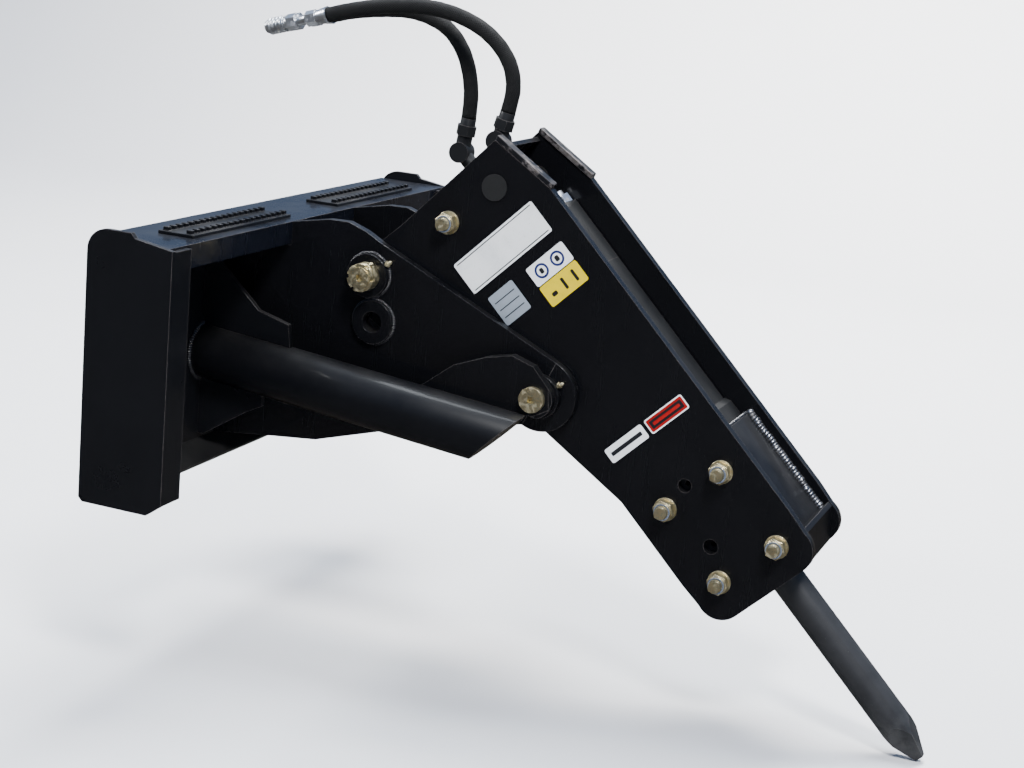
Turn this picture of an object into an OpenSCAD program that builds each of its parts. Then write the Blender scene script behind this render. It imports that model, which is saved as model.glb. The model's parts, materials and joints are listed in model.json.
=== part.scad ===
/* [Loader plate] */
// Width across the end cheeks
plate_w = 1180; // [1100:10:1300]
// Height of the flat rear plate
plate_h = 470; // [440:5:520]
// Thickness of the rear plate
plate_t = 10; // [8:1:12]
// Depth of the end cheeks and of the step on top
cheek_d = 172; // [150:1:200]
// Thickness of the end cheeks
cheek_t = 10; // [8:1:14]
// Distance between the lock-pin slots
slot_pitch = 845; // [780:5:900]
// Length of a grip pad on the step
pad_len = 360; // [260:20:400]

/* [Arms] */
// Thickness of the arm plates
arm_t = 20; // [16:1:22]
// Diameter of the brace tubes
tube_d = 108; // [90:1:116]
// Thickness of the brace ears
ear_t = 20; // [16:1:24]
// Diameter of the hinge pins
pin_d = 40; // [34:1:46]

/* [Breaker] */
// Lean of the breaker forward from upright
lean = 45; // [40:1:48]
// Distance between the outer faces of the side plates
body_w = 240; // [236:1:250]
// Thickness of the side plates
side_t = 20; // [16:1:22]
// Height of the side plates along the tool
side_h = 965; // [950:5:1000]
// Width of the side plates beside the tool
side_w = 256; // [250:1:280]
// Thickness of the guard and the closing plate
cover_t = 10; // [8:1:12]

/* [Tool and hammer] */
// Diameter of the chisel
tool_d = 65; // [56:1:68]
// Length of chisel below the side plates
tool_out = 404; // [330:2:460]
// Stroke of the chisel
tool_stroke = 40; // [30:1:50]
// Stroke of the piston
piston_stroke = 60; // [50:1:70]
// Diameter of the piston's big ring
piston_d = 78; // [74:1:84]
// Diameter of the retainer pin
key_d = 24; // [20:1:26]
// Diameter of the tie rods
tie_d = 20; // [16:1:22]
// Diameter of the side bolts
bolt_d = 24; // [20:1:27]

/* [Hoses] */
// Outside diameter of a hose in its sleeve
hose_d = 29; // [24:1:32]

/* [Hidden] */

run_gap = 0.05;      // radial clearance of a running fit
part_gap = 2;        // gap between the arms and the breaker
cut = 1;             // how far a cutting shape runs past a face

// The breaker's own frame: z up the chisel, x to the front, z = 0 where the chisel comes out
nose = [1180, 0, -308];
module on_breaker() translate(nose) rotate([0, -lean, 0]) children();
function from_breaker(x, z) = [nose[0] + x * cos(lean) - z * sin(lean), nose[2] + x * sin(lean) + z * cos(lean)];

half = body_w / 2;
inner = half - side_t;
arm_in = half + part_gap;
arm_out = arm_in + arm_t;
front_x = side_w / 2 - 2;
low_z = 14;
top_z = low_z + side_h;

// Hinge pins, in the breaker's frame
lower_at = [-125, 555];
upper_at = [-262, 936];
boss_d = pin_d + 44;
second_at = upper_at - (boss_d + 6) * [0.5748, 0.8183];
lower_w = from_breaker(lower_at[0], lower_at[1]);
upper_w = from_breaker(upper_at[0], upper_at[1]);
second_w = from_breaker(second_at[0], second_at[1]);
ear_in = arm_out + 16;
ear_out = ear_in + ear_t;
tube_y = arm_out + tube_d / 2 + 1;
tube_a = [plate_t, -22];
tube_b = [lower_w[0] - 52, lower_w[1] - 0.75 * pin_d - 50];
tube_rise = atan2(tube_b[1] - tube_a[1], tube_b[0] - tube_a[0]);
tube_len = norm(tube_b - tube_a);

// Hammer levels along the breaker's z
skin = 6;
head_z = low_z + skin;
head_h = 330;
head_top = head_z + head_h;
cyl_h = 340;
cyl_top = head_top + cyl_h;
back_h = 140;
back_top = cyl_top + back_h;
block_x = 156;      // hammer front to back
block = 188;        // hammer across
head_x = 172;
head_w = 2 * inner - 0.6;
bush_d = tool_d + 22;
lower_bush_z = head_z + 12;
lower_bush_h = 66;
upper_bush_z = head_z + 182;
upper_bush_h = 88;
chisel_top = upper_bush_z + upper_bush_h + 2;
stem_d = piston_d - 14;
tail_d = piston_d - 24;
guide_h = 40;
carrier_h = 44;
point_h = 78;       // length of the faceted point
piston_z = chisel_top + tool_stroke + 0.5;
ring_z = head_top + guide_h + 12;
ring_h = 90;
piston_top = cyl_top + back_h - 15 - piston_stroke;
tie_xy = [62, 74];
tie_z = head_z + 268;
key_at = [-(tool_d / 2 + key_d / 2 - 6), 144];
grease_hole = [-8, 262];
bolt_spots = [[66, 244], [-66, 248], [66, 76], [-66, 82]];
top_bolt = [-76, 918];
plug_spot = [40, 912];
spool_d = 24;
valve_z = lower_at[1] + pin_d / 2 + 46;
acc_z = cyl_top + 50;
acc_d = 112;
pressure_port = [66, -25];
return_port = [-33, 40];
pipe_d = 30;

module both_sides() {
    children();
    mirror([0, 1, 0]) children();
}
// Cylinder along Y through point p = [x, z] between y = a and y = b
module cross_cyl(p, d, a, b) translate([p[0], a, p[1]]) rotate([-90, 0, 0]) cylinder(d = d, h = b - a, $fn = 64);
module cross_hex(p, flats, a, b)
    translate([p[0], a, p[1]]) rotate([-90, 0, 0]) cylinder(d = flats / cos(30), h = b - a, $fn = 6);
// Plate in the XZ plane between y = a and y = b
module wall(a, b) translate([0, b, 0]) rotate([90, 0, 0]) linear_extrude(height = b - a) children();
module box(a, b) translate(a) cube(b - a);

// ---------------------------------------------------------------- loader frame
lip = 34;
module mount_plate() color("#15161a")
    box([0, -plate_w / 2 + cheek_t, -plate_h / 2 + lip], [plate_t, plate_w / 2 - cheek_t, plate_h / 2]);
// Bent lower edge with the slots for the loader's lock pins
module lock_lip() color("#15161a") difference() {
    wall(-plate_w / 2 + cheek_t, plate_w / 2 - cheek_t)
        polygon([[0, -plate_h / 2 + lip], [plate_t, -plate_h / 2 + lip], [plate_t + 46, -plate_h / 2 + 4],
            [plate_t + 39, -plate_h / 2 - 4], [0, -plate_h / 2 + lip - 4]]);
    for (s = [-1, 1]) translate([plate_t + 22, s * slot_pitch / 2, -plate_h / 2 + 18]) rotate([0, 32, 0])
        cube([26, 70, 60], center = true);
}

module cheek_outline() {
    h = plate_h / 2;
    polygon([[0, -h + 8], [8, -h], [cheek_d - 30, -h], [cheek_d, -h + 22], [cheek_d, h + 10],
        [96, h + 22], [88, h + 31], [40, h + 31], [0, h - 10]]);
    translate([40, h - 9]) circle(r = 40, $fn = 48);
}
module end_cheeks() color("#121317") both_sides() {
    wall(-plate_w / 2, -plate_w / 2 + cheek_t) cheek_outline();
    box([cheek_d - 10, -plate_w / 2 + cheek_t - 0.5, -plate_h / 2 + 22],
        [cheek_d, -plate_w / 2 + 62, plate_h / 2 + 8]);
}

step_z = plate_h / 2 + 12;
module step_plate() color("#15161a") {
    side = plate_w / 2 - cheek_t;
    box([0, -side, plate_h / 2], [12, side, step_z]);
    box([12, -side, step_z - 10], [cheek_d - 12, side, step_z]);
    box([cheek_d - 22, -side + 60, step_z - 44], [cheek_d - 12, side - 60, step_z - 10]);
}

module grip_pads() color("#1b1c20") {
    teeth = floor(pad_len / 20);
    side = plate_w / 2 - 130;
    for (s = [0, 1]) mirror([0, s, 0]) {
        box([60, -side, step_z], [134, -side + pad_len, step_z + 6]);
        for (i = [0 : teeth - 1], k = [0, 1])
            translate([67 + k * 48, -side + 5 + i * 20, step_z + 5]) cube([12, 10, 8]);
    }
}

module arm_outline() {
    difference() {
        union() {
            polygon([[plate_t, step_z - 46], [cheek_d - 11, step_z - 46], [cheek_d - 11, step_z],
                [238, 262], [280, 263], [318, 250], [352, 232], [lower_w[0] + 26, lower_w[1] + 66], [lower_w[0] - 30, lower_w[1] - 62],
                [430, -118], [240, -176], [plate_t, -200]]);
            translate(lower_w) circle(r = 70, $fn = 96);
        }
        translate([172, -70]) circle(d = 90, $fn = 64);
        for (p = [upper_w, second_w]) translate(p) circle(d = boss_d - 16, $fn = 64);
        translate(lower_w) circle(d = boss_d - 16, $fn = 64);
    }
}
module arm_plate(s) color("#131418") mirror([0, s, 0]) wall(-arm_out, -arm_in) arm_outline();
module arm_plate_near() arm_plate(0);
module arm_plate_far() arm_plate(1);

// Stepped ring boss welded in the arm plate
module ring_boss(p, a, b, step) difference() {
    union() {
        cross_cyl(p, boss_d - 16, a, b);
        cross_cyl(p, boss_d, a, a + step);
    }
    cross_cyl(p, pin_d + 2 * run_gap, a - cut, b + cut);
}
module arm_bosses() color("#17181c") both_sides() {
    ring_boss(upper_w, -arm_out - 14, -arm_in, 14);
    ring_boss(lower_w, -arm_out - 16, -arm_in, 16);
}
// Open bosses for the second breaker angle
module angle_bosses() color("#17181c") both_sides() ring_boss(second_w, -arm_out - 10, -arm_in, 10);

module tube_solid(d, extra) translate([tube_a[0], -tube_y, tube_a[1]]) rotate([0, 90 - tube_rise, 0])
    translate([0, 0, -60]) cylinder(d = d, h = tube_len + extra, $fn = 96);
module brace_tube(s) color("#131418") mirror([0, s, 0]) intersection() {
    difference() {
        tube_solid(tube_d, 160);
        tube_solid(tube_d - 14, 170);
    }
    mitre(0);
}
// Keeps what lies behind the mitre plane, which is in line with the rear of the side plates
module mitre(back) wall(-tube_y - tube_d, 0) polygon([[plate_t, -250], [plate_t, 150],
    [lower_w[0] + 80 - back, 150], [lower_w[0] + 78 - back, 50], [lower_w[0] - 22 - back, -50],
    [lower_w[0] - 222 - back, -250]]);
module tube_caps() color("#131418") both_sides() difference() {
    intersection() {
        tube_solid(tube_d - 14, 160);
        mitre(0);
    }
    mitre(12);
}
module brace_tube_near() brace_tube(0);
module brace_tube_far() brace_tube(1);

module ear_outline() {
    difference() {
        union() {
            translate(lower_w) polygon([[-230, -16], [-164, 37], [-98, 63], [-49, 74], [-5, 60], [28, 24],
                [32, -16], [0, -34], [-104, -30], [-230, -30]]);
            translate(lower_w) circle(r = pin_d / 2 + 17, $fn = 64);
        }
        translate(lower_w) circle(d = pin_d + 2 * run_gap, $fn = 64);
    }
}
module brace_ear(s) color("#131418") mirror([0, s, 0]) difference() {
    wall(-ear_out, -ear_in) ear_outline();
    tube_solid(tube_d, 300);
}
module brace_ear_near() brace_ear(0);
module brace_ear_far() brace_ear(1);

module foot_gussets() color("#131418") both_sides() difference() {
    union() {
        wall(-tube_y - 6, -tube_y + 6) polygon([[plate_t, 175], [30, 170], [44, 155], [100, 105], [131, 76],
            [198, 58], [204, 10], [plate_t, 0]]);
        wall(-tube_y - 6, -tube_y + 6) polygon([[plate_t, -40], [150, -60], [150, -112], [112, -132],
            [plate_t + 14, -190], [plate_t, -190]]);
    }
    tube_solid(tube_d, 200);
}

module cross_plate() color("#131418") {
    wall(-arm_in, arm_in)
        polygon([[plate_t, -40], [70, -64], [118, -160], [106, -166], [58, -76], [plate_t, -56]]);
    box([plate_t, -arm_in, 150], [plate_t + 12, arm_in, 200]);
}

// ---------------------------------------------------------------- hinge pins
pin_end = arm_out + 14;
collar_w = 30;
roll_d = 8;
module roll_hole() translate([upper_w[0], -pin_end - collar_w / 2, upper_w[1]]) rotate([0, 30, 0])
    cylinder(d = roll_d, h = 130, center = true, $fn = 32);
module upper_pin() color("#c9b26a") difference() {
    union() {
        cross_cyl(upper_w, pin_d, -pin_end - collar_w - 2, pin_end + 12);
        cross_cyl(upper_w, pin_d + 16, pin_end + 0.3, pin_end + 12);
    }
    cross_cyl(upper_w, 14, -pin_end - collar_w - 3, -pin_end - collar_w + 6);
    roll_hole();
}
module upper_pin_collar() color("#c9b26a") difference() {
    cross_cyl(upper_w, pin_d + 14, -pin_end - collar_w, -pin_end - 0.3);
    cross_cyl(upper_w, pin_d + 2 * run_gap, -pin_end - collar_w - cut, -pin_end + cut);
    roll_hole();
    for (a = [0 : 60 : 300]) translate([upper_w[0], 0, upper_w[1]]) rotate([0, a, 0])
        box([pin_d / 2 + 3, -pin_end - collar_w - cut, -4], [pin_d, -pin_end - collar_w + 8, 4]);
}
module upper_roll_pin() color("#b8a25e")
    translate([upper_w[0], -pin_end - collar_w / 2, upper_w[1]]) rotate([0, 30, 0]) difference() {
        cylinder(d = roll_d, h = pin_d + 26, center = true, $fn = 32);
        cylinder(d = roll_d / 2, h = pin_d + 50, center = true, $fn = 24);
    }

module lower_pin() color("#c9b26a") difference() {
    union() {
        cross_cyl(lower_w, pin_d, -ear_out - 1, ear_out + 26);
        cross_cyl(lower_w, pin_d + 8, -ear_out - 13, -ear_out - 0.3);
    }
    translate([lower_w[0], -ear_out - 10, lower_w[1]]) cube([13, 12, 13], center = true);
}
module lower_pin_nut() color("#c9b26a") difference() {
    cross_hex(lower_w, pin_d + 14, ear_out + 0.3, ear_out + 22);
    cross_cyl(lower_w, pin_d + 2 * run_gap, ear_out - cut, ear_out + 24);
}
nipple_turn = 35;
module grease_nipples() color("#c9b26a") both_sides() for (p = [lower_w, upper_w])
    translate([p[0] + boss_d / 2 * cos(nipple_turn), -arm_out - 7, p[1] + boss_d / 2 * sin(nipple_turn)])
        rotate([0, 90 - nipple_turn, 0]) {
            cylinder(d = 7, h = 12, $fn = 32);
            translate([0, 0, 3]) cylinder(d = 12, h = 5, $fn = 6);
            translate([0, 0, 12]) cylinder(d1 = 7, d2 = 4, h = 3, $fn = 32);
        }

// ---------------------------------------------------------------- breaker body
module side_outline() {
    r = 40;
    rear = -front_x - 4;
    difference() {
        union() {
            translate([front_x - r - 6, low_z + r + 4]) circle(r = r + 4, $fn = 64);
            translate([rear + r + 8, low_z + r + 6]) circle(r = r + 6, $fn = 64);
            polygon([[rear + r + 6, low_z], [front_x - r - 6, low_z], [front_x - 4, low_z + 36], [front_x, 112],
                [front_x, 842], [front_x - 30, top_z], [-157, top_z - 6], [-302, top_z], [-334, 905],
                [-322, 850], [-262, 730], [-178, 534], [rear, 306], [rear, 116], [rear + 3, low_z + 50]]);
        }
        for (p = bolt_spots) translate(p) circle(d = bolt_d + 2, $fn = 48);
        translate(top_bolt) circle(d = bolt_d + 2, $fn = 48);
        translate(plug_spot) circle(d = 44, $fn = 64);
        translate(key_at) circle(d = key_d + 4, $fn = 48);
        translate(grease_hole) circle(d = 26, $fn = 48);
        for (p = [lower_at, upper_at]) translate(p) circle(d = pin_d + 20, $fn = 64);
    }
}
module side_plate_near() color("#101114") on_breaker() wall(-half, -inner) side_outline();
module side_plate_far() color("#101114") on_breaker() wall(inner, half) side_outline();
module side_bushes() color("#8f7a45") both_sides() for (p = [lower_w, upper_w]) difference() {
    cross_cyl(p, pin_d + 20, -half, -inner);
    cross_cyl(p, pin_d + 2 * run_gap, -half - cut, -inner + cut);
}

guard_x = front_x - 26;
module lower_guard() color("#101114") on_breaker()
    wall(-inner, inner) polygon([[guard_x - cover_t, low_z + 48], [guard_x, low_z + 48], [guard_x, 300],
        [guard_x - cover_t, 300]]);
module bottom_plate() color("#101114") on_breaker() difference() {
    wall(-inner, inner) polygon([[-84, low_z], [front_x - 46, low_z], [front_x - 4, low_z + 50],
        [front_x - 4, low_z + 60], [guard_x + 0.3, low_z + 60], [guard_x + 0.3, low_z + 54],
        [front_x - 12, low_z + 54], [front_x - 50, low_z + skin], [-84, low_z + skin]]);
    translate([0, 0, low_z - cut]) cylinder(d = tool_d + 24, h = 10, $fn = 96);
}
module top_plate() color("#101114") on_breaker() difference() {
    wall(-inner, inner) polygon([[-150, top_z - 6 - cover_t], [front_x - 36, top_z - 6 - cover_t],
        [front_x - 36, top_z - 6], [-150, top_z - 6]]);
    for (p = [pressure_port, return_port]) translate([p[0], p[1], top_z - 20])
        cylinder(d = pipe_d + 14, h = 20, $fn = 64);
}
module edge_bars() color("#101114") on_breaker() both_sides()
    wall(-half, -half + side_t + 4) polygon([[front_x + 0.3, 842], [front_x + 9, 846], [front_x - 20, top_z + 4],
        [front_x - 29, top_z + 0.3]]);

// ---------------------------------------------------------------- hammer inside
module tie_holes(d) for (sx = [-1, 1], sy = [-1, 1])
    translate([sx * tie_xy[0], sy * tie_xy[1], tie_z]) cylinder(d = d, h = 900, $fn = 48);
module drill(d, z, h) translate([0, 0, z]) cylinder(d = d, h = h, $fn = 96);

module front_head() color("#2a2c30") on_breaker() difference() {
    wall(-head_w / 2, head_w / 2) polygon([[-head_x / 2 + 14, head_z], [head_x / 2 - 44, head_z],
        [head_x / 2, head_z + 40], [head_x / 2, head_top - 12], [block_x / 2, head_top],
        [-block_x / 2, head_top], [-head_x / 2, head_top - 12], [-head_x / 2, head_z + 14]]);
    drill(bush_d, head_z - cut, lower_bush_z + lower_bush_h - head_z + cut);
    drill(tool_d + 8, head_z, head_h);
    drill(bush_d, upper_bush_z, head_h);
    cross_cyl(key_at, key_d + 2 * run_gap, -half, half);
    for (p = bolt_spots) cross_cyl(p, bolt_d + 0.6, -half, half);
    cross_cyl(grease_hole, 10, -half, -bush_d / 2 + 6);
    tie_holes(tie_d + 1);
}
module lower_bush() color("#8f7a45") on_breaker() difference() {
    drill(bush_d, lower_bush_z, lower_bush_h);
    drill(tool_d + 2 * run_gap, lower_bush_z - cut, lower_bush_h + 2 * cut);
}
module upper_bush() color("#8f7a45") on_breaker() difference() {
    drill(bush_d, upper_bush_z, upper_bush_h);
    drill(tool_d + 2 * run_gap, upper_bush_z - cut, upper_bush_h + 2 * cut);
}
module dust_seal() color("#17181a") on_breaker() difference() {
    drill(bush_d, head_z, lower_bush_z - head_z);
    drill(tool_d + 0.6, head_z - cut, 20);
}
module point_facets() {
    flat = 8;
    wall(-tool_d, tool_d) polygon([[-flat, -tool_out], [flat, -tool_out],
        [tool_d / 2, point_h - tool_out], [-tool_d / 2, point_h - tool_out]]);
}
module chisel() color("#2c2d30") on_breaker() difference() {
    union() {
        drill(tool_d, point_h - tool_out, chisel_top + tool_out - point_h - 6);
        translate([0, 0, chisel_top - 6]) cylinder(d1 = tool_d, d2 = tool_d - 12, h = 6, $fn = 96);
        intersection() {
            drill(tool_d, -tool_out, point_h);
            point_facets();
            rotate([0, 0, 90]) point_facets();
        }
    }
    // Flat for the retainer pin, as long as the stroke
    translate([-tool_d, -tool_d, key_at[1] - key_d / 2 - tool_stroke - 2])
        cube([tool_d - (-key_at[0] - key_d / 2) + 0.5, 2 * tool_d, tool_stroke + key_d + 2.3]);
}
module retainer_pin() color("#6f7278") on_breaker() difference() {
    cross_cyl(key_at, key_d, -inner + 0.5, inner - 0.5);
    cross_cyl(key_at, 10, -inner - cut, -inner + 24);
}

module cylinder_body() color("#33353a") on_breaker() difference() {
    translate([-block_x / 2, -block / 2, head_top]) cube([block_x, block, cyl_h]);
    drill(stem_d + 2 * run_gap, head_top - cut, cyl_h);
    drill(piston_d + 2 * run_gap, head_top + guide_h, cyl_h);
    tie_holes(tie_d + 1);
    translate([-block_x / 2 - cut, 0, valve_z]) rotate([0, 90, 0]) cylinder(d = 16, h = 60, $fn = 48);
}
module seal_carrier() color("#8c8f94") on_breaker() difference() {
    drill(piston_d + 2 * run_gap, cyl_top - carrier_h, carrier_h);
    drill(tail_d + 2 * run_gap, cyl_top - carrier_h - cut, carrier_h + 2 * cut);
}
module piston() color("#b9bcc0") on_breaker() union() {
    drill(stem_d, piston_z, ring_z - piston_z);
    drill(piston_d, ring_z, ring_h);
    drill(tail_d, ring_z + ring_h, piston_top - ring_z - ring_h);
}
module back_head() color("#2a2c30") on_breaker() difference() {
    translate([-block_x / 2, -block / 2, cyl_top]) cube([block_x, block, back_h]);
    drill(tail_d + 14, cyl_top - cut, back_h - 11);
    tie_holes(tie_d + 1);
    for (p = [pressure_port, return_port]) translate([p[0], p[1], back_top - 24])
        cylinder(d = pipe_d, h = 30, $fn = 64);
}
module tie_rods() color("#8f9297") on_breaker() for (sx = [-1, 1], sy = [-1, 1])
    translate([sx * tie_xy[0], sy * tie_xy[1], 0]) {
        translate([0, 0, tie_z + 1]) cylinder(d = tie_d, h = back_top + 28 - tie_z, $fn = 48);
        translate([0, 0, back_top]) cylinder(d = tie_d * 1.5 / cos(30), h = tie_d * 0.9, $fn = 6);
    }

// ---------------------------------------------------------------- valve and accumulator
valve_half = 46;
module valve_box() color("#33353a") on_breaker() difference() {
    translate([-block_x / 2 - 52, -valve_half, valve_z - 34]) cube([52, 2 * valve_half, 68]);
    cross_cyl([-block_x / 2 - 27, valve_z], spool_d + 2 * run_gap, -valve_half - cut, valve_half + cut);
    translate([-block_x / 2 - 27, 0, valve_z]) rotate([0, 90, 0]) cylinder(d = 16, h = 60, $fn = 48);
}
module valve_spool() color("#b9bcc0") on_breaker() {
    spot = [-block_x / 2 - 27, valve_z];
    cross_cyl(spot, spool_d, -valve_half + 3, -12);
    cross_cyl(spot, spool_d - 8, -13, 13);
    cross_cyl(spot, spool_d, 12, valve_half - 15);
}
module valve_covers() color("#2a2c30") on_breaker() both_sides() {
    translate([-block_x / 2 - 50, -valve_half - 12, valve_z - 32]) cube([48, 12, 64]);
    for (sx = [-1, 1], sz = [-1, 1])
        cross_hex([-block_x / 2 - 26 + sx * 17, valve_z + sz * 25], 8, -valve_half - 16, -valve_half - 12);
}
module toward_rear(x) translate([-x, 0, acc_z]) rotate([0, -90, 0]) children();
module accumulator() color("#33353a") on_breaker() toward_rear(block_x / 2) difference() {
    cylinder(d = acc_d, h = 44, $fn = 96);
    translate([0, 0, 10]) cylinder(d = acc_d - 28, h = 44, $fn = 96);
    translate([0, 0, -cut]) cylinder(d = 14, h = 40, $fn = 48);
}
module diaphragm() color("#17181a") on_breaker() toward_rear(block_x / 2 + 30)
    cylinder(d = acc_d - 28, h = 8, $fn = 96);
module accumulator_cap() color("#33353a") on_breaker() toward_rear(block_x / 2 + 44) difference() {
    union() {
        cylinder(d = acc_d, h = 26, $fn = 96);
        for (a = [0 : 45 : 315]) rotate([0, 0, a]) translate([acc_d / 2 - 9, 0, 26]) cylinder(d = 14, h = 7, $fn = 6);
    }
    translate([0, 0, -cut]) cylinder(d = acc_d - 40, h = 15, $fn = 96);
    cylinder(d = 12, h = 40, $fn = 48);
}
module gas_valve() color("#c9b26a") on_breaker() toward_rear(block_x / 2 + 44 + 14) {
    cylinder(d = 12, h = 24, $fn = 48);
    translate([0, 0, 12]) cylinder(d = 20, h = 8, $fn = 6);
}

// ---------------------------------------------------------------- side fasteners
all_bolts = concat(bolt_spots, [top_bolt]);
washer_t = 4;
nut_h = bolt_d * 0.9;
module side_bolts() color("#b7a66e") on_breaker() for (p = all_bolts) {
    cross_cyl(p, bolt_d, -half - washer_t - nut_h - 10, half + washer_t + 1);
    cross_hex(p, bolt_d * 1.5, half + washer_t, half + washer_t + bolt_d * 0.62);
}
module side_nuts() color("#c9b26a") on_breaker() for (p = all_bolts) difference() {
    union() {
        cross_hex(p, bolt_d * 1.5, -half - washer_t - nut_h * 0.76, -half - washer_t);
        cross_cyl(p, bolt_d * 1.36, -half - washer_t - nut_h, -half - washer_t - 2);
    }
    cross_cyl(p, bolt_d, -half - washer_t - nut_h - cut, -half);
}
module side_washers() color("#b8b9bb") on_breaker() for (p = all_bolts, s = [0, 1]) mirror([0, s, 0]) difference() {
    cross_cyl(p, bolt_d * 1.85, -half - washer_t, -half);
    cross_cyl(p, bolt_d, -half - washer_t - cut, -half + cut);
}
module spacer_tube() color("#24262a") on_breaker() difference() {
    cross_cyl(top_bolt, bolt_d + 16, -inner, inner);
    cross_cyl(top_bolt, bolt_d + 1, -inner - cut, inner + cut);
}
module side_plugs() color("#0c0c0d") on_breaker() both_sides() {
    cross_cyl(plug_spot, 44, -half, -inner);
    cross_cyl(plug_spot, 50, -half - 3, -half);
}

// ---------------------------------------------------------------- ports and hoses
pressure_elbow = top_z + 13;
return_elbow = top_z + 57;
// Turns offsets from a fitting's elbow into a route that ends at the coupler
function route(port, elbow_z, offsets) = let (e = from_breaker(port[0], elbow_z))
    [for (o = offsets) [e[0] + o[0], port[1] + o[1], e[1] + o[2]]];
pressure_route = route(pressure_port, pressure_elbow, [[14, 0, 56], [20, 0, 100], [11, 0, 140], [-15, 0, 176],
    [-55, 0, 205], [-107, 1, 224], [-161, 3, 232], [-220, 5, 230], [-280, 7, 222], [-335, 8, 210],
    [-381, 9, 197]]);
return_route = route(return_port, return_elbow, [[9, 0, 67], [9, 0, 115], [0, 0, 159], [-17, -1, 197],
    [-46, -1, 229], [-88, 0, 249], [-140, 2, 257], [-200, 3, 253], [-256, 4, 244], [-302, 4, 232]]);

// A pipe out of the back head, an elbow, and a fitting that points at the first hose point
module port_pipe(port, elbow_z, first) {
    turn = from_breaker(port[0], elbow_z);
    up = [first[0] - turn[0], first[2] - turn[1]];
    nut_h = 14;
    on_breaker() translate([port[0], port[1], back_top - 22]) {
        cylinder(d = pipe_d, h = elbow_z - back_top + 20, $fn = 48);
        translate([0, 0, top_z + 6 - back_top]) cylinder(d = pipe_d + 12, h = nut_h, $fn = 6);
    }
    cross_cyl(turn, pipe_d + 10, port[1] - pipe_d / 2 - 3, port[1] + pipe_d / 2 + 3);
    translate([turn[0], port[1], turn[1]]) rotate([0, atan2(up[0], up[1]), 0]) {
        cylinder(d = pipe_d, h = norm(up), $fn = 48);
        translate([0, 0, norm(up) - 34]) cylinder(d = pipe_d + 10, h = 20, $fn = 6);
    }
}
module port_pipes() color("#8f9297") {
    port_pipe(pressure_port, pressure_elbow, pressure_route[0]);
    port_pipe(return_port, return_elbow, return_route[0]);
}

function unit(v) = v / norm(v);
function heading(r, i) = unit(r[min(i + 1, len(r) - 1)] - r[max(i - 1, 0)]);
function ring(r, i, d, n) = let (t = heading(r, i), s = unit(cross(t, [0, 1, 0])), b = cross(t, s))
    [for (k = [0 : n - 1]) r[i] + d / 2 * (cos(360 * k / n) * s + sin(360 * k / n) * b)];
module hose(r, d) {
    n = 12;
    last = len(r) - 1;
    points = [for (i = [0 : last]) each ring(r, i, d, n)];
    sides = [for (i = [0 : last - 1], k = [0 : n - 1]) let (m = (k + 1) % n)
        [i * n + k, i * n + m, (i + 1) * n + m, (i + 1) * n + k]];
    polyhedron(points, concat([[for (k = [n - 1 : -1 : 0]) k]], sides, [[for (k = [0 : n - 1]) last * n + k]]));
}
module hose_pressure() color("#141414") hose(pressure_route, hose_d);
module hose_return() color("#141414") hose(return_route, hose_d);

// Stands at the end of a route, looking along it
module at_end(r) {
    last = len(r) - 1;
    t = heading(r, last);
    translate(r[last]) rotate([0, acos(t[2]), atan2(t[1], t[0])]) children();
}
ferrule_l = 26;
coupler_z = ferrule_l + 22;
neck_l = 22;
body_z = coupler_z + neck_l + 20;
module coupler() {
    difference() {
        cylinder(d1 = hose_d + 5, d2 = hose_d - 3, h = ferrule_l, $fn = 64);
        translate([0, 0, -cut]) cylinder(d = hose_d - 8, h = 6, $fn = 48);
    }
    translate([0, 0, ferrule_l]) cylinder(d = 27 / cos(30), h = coupler_z - ferrule_l, $fn = 6);
    translate([0, 0, coupler_z]) cylinder(d = 18, h = neck_l, $fn = 48);
    translate([0, 0, coupler_z + neck_l]) cylinder(d = 29 / cos(30), h = body_z - coupler_z - neck_l, $fn = 6);
    translate([0, 0, body_z]) difference() {
        cylinder(d = sleeve_d, h = 50, $fn = 64);
        translate([0, 0, 36]) cylinder(d = sleeve_d - 8, h = 20, $fn = 48);
    }
}
module coupler_pressure() color("#b5b7b9") at_end(pressure_route) coupler();
module coupler_return() color("#b5b7b9") at_end(return_route) coupler();
// Ribbed locking sleeve, free to slide back
sleeve_travel = 7;
sleeve_d = 23;
module coupler_sleeve() translate([0, 0, body_z + sleeve_travel + 1]) difference() {
    union() {
        cylinder(d = 30, h = 36, $fn = 64);
        for (i = [0 : 3]) translate([0, 0, 5 + i * 8]) cylinder(d = 33, h = 4, $fn = 64);
    }
    translate([0, 0, -cut]) cylinder(d = sleeve_d + 2 * run_gap, h = 40, $fn = 64);
}
module coupler_sleeve_pressure() color("#b5b7b9") at_end(pressure_route) coupler_sleeve();
module coupler_sleeve_return() color("#b5b7b9") at_end(return_route) coupler_sleeve();

// Thin plates and stickers on the near side plate
module sticker(x0, z0, x1, z1) translate([x0, -half - 0.8, z0]) cube([x1 - x0, 0.8, z1 - z0]);
module decals() color("#d9dadb") on_breaker() {
    sticker(-120, 782, 82, 850);
    sticker(-104, 696, -42, 760);
    sticker(-8, 670, 83, 757);
    sticker(-96, 372, 92, 402);
}

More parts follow.
